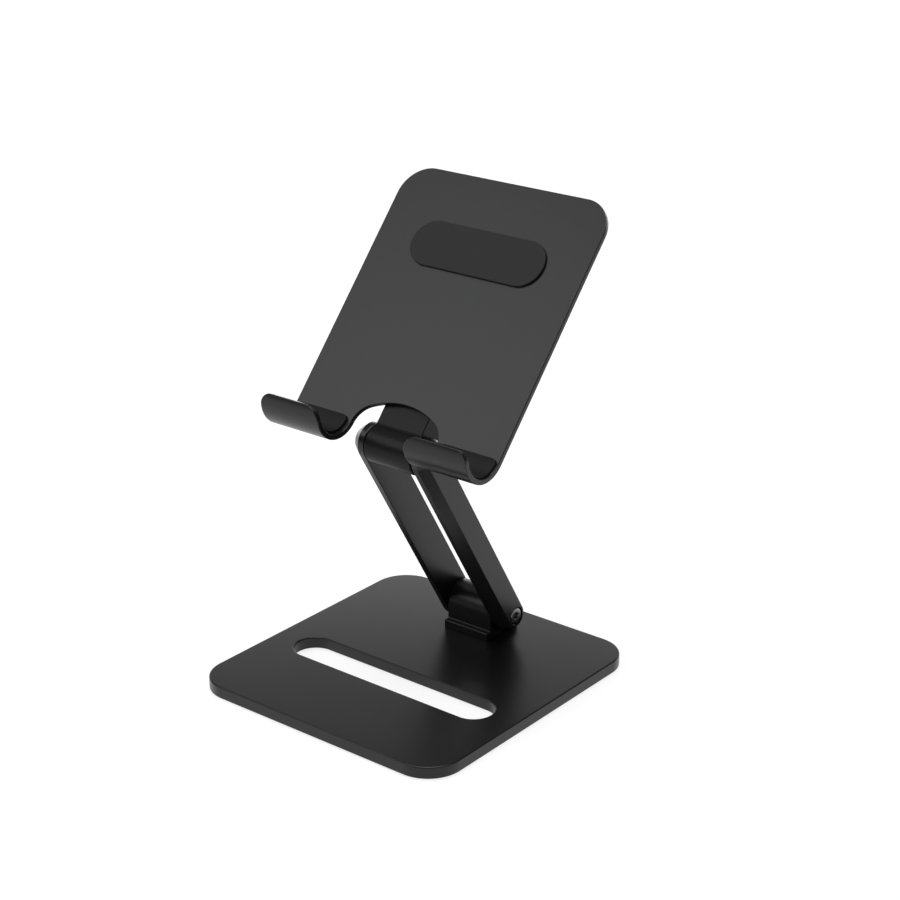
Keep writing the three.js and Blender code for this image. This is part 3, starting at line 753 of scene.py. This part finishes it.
def build_nut(node, height):
    """Hexagonal nut with turned corners."""
    seat = TONGUE_FRONT - TONGUE_TIP_DEPTH + NUT_HEIGHT - GAP
    low, high = seat - NUT_HEIGHT, seat
    place = axes(X, PLATE_UP, PLATE_OUT, UPPER + PLATE_UP * height * MM)
    hole = circle((0, 0), STUD_RADIUS + GAP, 2 * ARC_STEPS)
    nut = stack(f"{node}_hex", hexagon(NUT_ACROSS_FLATS), [(low, 0), (high, 0)], place, [hole])
    corner = NUT_ACROSS_FLATS / math.sqrt(3)
    flat = NUT_ACROSS_FLATS / 2 - NUT_FACE_INSET
    drop = (corner - flat) * NUT_CORNER_SLOPE
    profile = [(0, low - GAP), (flat, low), (corner, low + drop)]
    profile += [(corner, high - drop), (flat, high), (0, high + GAP)]
    combine(nut, [turned("corners", profile, stud_axis(height))], "INTERSECT")
    settle(nut, "holder", black_steel, [node])


def build_rest_pad():
    """Soft pill-shaped pad, slightly rounded at its rim."""
    low = PLATE_FRONT + GAP
    high = low + PAD_THICKNESS
    outline = pill(PAD_LENGTH, PAD_HEIGHT, (0, PAD_CENTRE), 2 * ARC_STEPS)
    pad = stack("rest_pad_pill", outline, rounded_levels(low, high, PAD_EDGE), HOLDER_FACE)
    settle(pad, "holder", silicone, ["rest_pad"])


def build_lip_liner(word, side):
    """Soft strip that lines the inside of one lip, in silicone whose colour is darkened as painted shade.
    """
    outer_radius = LIP_OUTER_RADIUS - PLATE_SHEET - GAP
    middle = outer_radius - LINER_THICKNESS / 2
    low = -middle * (LIP_SWEEP - LINER_MARGIN / middle)
    x0 = ARCH_HALF_WIDTH + LINER_INNER_INSET
    x1 = PLATE_HALF_WIDTH - LINER_OUTER_INSET
    if side < 0:
        x0, x1 = -x1, -x0
    outline = rounded_rectangle(x0, x1, low, LINER_TOP - LIP_CENTRE_HEIGHT, LINER_CORNER)
    liner = bent(f"lip_liner_{word}_strip", outline, LINER_THICKNESS, outer_radius, SOFT_EDGE)
    settle(liner, "holder", shade_darkened_silicone, [f"lip_liner_{word}"])


# ---------- pieces ----------

build_base_plate()
build_hinge_block()
for foot_node in FEET:
    build_foot(foot_node)
for screw_node in BASE_SCREWS:
    build_base_screw(screw_node)
for side_word, side_sign in SIDES:
    build_arm(side_word, side_sign)
    build_hinge_screw(f"lower_hinge_screw_{side_word}", LOWER, side_sign)
    build_hinge_screw(f"upper_hinge_screw_{side_word}", UPPER, side_sign)
    build_lip_liner(side_word, side_sign)
build_back_plate()
build_bracket()
build_rest_pad()
for level_word, stud_height in zip(("lower", "upper"), STUD_HEIGHTS):
    build_nut(f"bracket_nut_{level_word}", stud_height)

# The small turned parts inside the hinges keep their CAD shapes and get their finish here.
SLOTS = {part["node"]: part["material_slot"] for part in frame["record"]["subparts"]}
for node_name, node_object in frame["nodes"].items():
    node_object.data.materials.clear()
    node_object.data.materials.append(NODE_MATERIALS[SLOTS[node_name]])

# ---------- studio ----------

# Places and sizes are in metres. WALL_TOP and FRONT_FADE are sines of angles seen from the
# stand: between their two values the room's brightness fades from one level to the other.
WALL_TOP = (0.36, 0.48)
WALL_BRIGHTNESS = 0.2
CEILING_BRIGHTNESS = 0.08
FRONT_FADE = (-0.6, 0.3)
FRONT_SHARE = 0.6
CEILING_WATTS = 2.7
CEILING_SPREAD_DEG = 50
KEY_PLACE = (-1.05, -1.12, 1.30)
KEY_AIM = (0, 0, 0.1)
KEY_SIZE = (1.2, 1.2)
KEY_WATTS = 11
SCREEN_PLACE = (-0.29, 0.46, 0.12)
SCREEN_SIZE = (1.3, 0.2)
SCREEN_WATTS = 1.5
FLOOR_SIZE = 12
FLOOR_GREYS = (0.23, 0.24)
FLOOR_GLOW = 0.8
CAMERA_PLACE = (0.45792, -0.55201, 0.37973)
CAMERA_TILT_DEG = 68.094
CAMERA_TURN_DEG = 38.667
CAMERA_LENS = 85.47
CAMERA_SENSOR = 36


def build_floor():
    """White floor that glows like a light table, so that shadows on it stay faint."""
    material, tree, shader, noise = new_material("pale_floor")
    dark, light = [(grey, grey, grey) for grey in FLOOR_GREYS]
    tint = ramp(tree, noise(6, 2), dark, light)
    tree.links.new(tint, shader.inputs["Base Color"])
    shader.inputs["Roughness"].default_value = 0.9
    shader.inputs["Specular IOR Level"].default_value = 0.1
    shader.inputs["Emission Color"].default_value = (1, 1, 1, 1)
    shader.inputs["Emission Strength"].default_value = FLOOR_GLOW
    bpy.ops.mesh.primitive_plane_add(size=FLOOR_SIZE, location=(0, 0, 0))
    floor = bpy.context.object
    floor.name = "studio_floor"
    floor.data.materials.append(material)


def area_light(name, place, aim, size, watts):
    """Rectangular soft light, aimed at a point and unseen by the camera."""
    light = bpy.data.lights.new(name, "AREA")
    light.shape = "RECTANGLE"
    light.size, light.size_y = size
    light.energy = watts
    holder = bpy.data.objects.new(name, light)
    holder.location = place
    holder.rotation_euler = (Vector(aim) - Vector(place)).to_track_quat("-Z", "Y").to_euler()
    holder.visible_camera = False
    bpy.context.scene.collection.objects.link(holder)


def build_world():
    """Pale room: bright low behind the stand, darker in front and above."""
    world = bpy.data.worlds.new("studio")
    world.use_nodes = True
    tree = world.node_tree
    place = tree.nodes.new("ShaderNodeTexCoord")
    split = tree.nodes.new("ShaderNodeSeparateXYZ")
    tree.links.new(place.outputs["Generated"], split.inputs["Vector"])

    def fade(axis, start, end, before, after):
        node = tree.nodes.new("ShaderNodeMapRange")
        node.interpolation_type = "SMOOTHSTEP"
        node.inputs["From Min"].default_value = start
        node.inputs["From Max"].default_value = end
        node.inputs["To Min"].default_value = before
        node.inputs["To Max"].default_value = after
        tree.links.new(split.outputs[axis], node.inputs["Value"])
        return node.outputs["Result"]

    product = tree.nodes.new("ShaderNodeMath")
    product.operation = "MULTIPLY"
    tree.links.new(fade("Z", *WALL_TOP, WALL_BRIGHTNESS, CEILING_BRIGHTNESS), product.inputs[0])
    tree.links.new(fade("Y", *FRONT_FADE, FRONT_SHARE, 1), product.inputs[1])
    background = tree.nodes["Background"]
    background.inputs["Color"].default_value = (1, 1, 1, 1)
    tree.links.new(product.outputs["Value"], background.inputs["Strength"])
    bpy.context.scene.world = world


def build_sun():
    """Wide soft light straight down, which keeps the whole floor pale."""
    sun = bpy.data.lights.new("ceiling", "SUN")
    sun.energy = CEILING_WATTS
    sun.angle = math.radians(CEILING_SPREAD_DEG)
    holder = bpy.data.objects.new("ceiling", sun)
    bpy.context.scene.collection.objects.link(holder)


def build_camera():
    """Long lens, looking down on the stand from its front right."""
    camera = bpy.data.cameras.new("camera")
    camera.sensor_width = CAMERA_SENSOR
    camera.lens = CAMERA_LENS
    camera.clip_end = 50
    holder = bpy.data.objects.new("camera", camera)
    holder.location = CAMERA_PLACE
    holder.rotation_euler = (math.radians(CAMERA_TILT_DEG), 0, math.radians(CAMERA_TURN_DEG))
    bpy.context.scene.collection.objects.link(holder)
    bpy.context.scene.camera = holder


build_floor()
build_world()
build_sun()
area_light("left_front", KEY_PLACE, KEY_AIM, KEY_SIZE, KEY_WATTS)
area_light("low_screen", SCREEN_PLACE, (0, 0, SCREEN_PLACE[2]), SCREEN_SIZE, SCREEN_WATTS)
build_camera()
bpy.context.scene.view_settings.view_transform = "Standard"
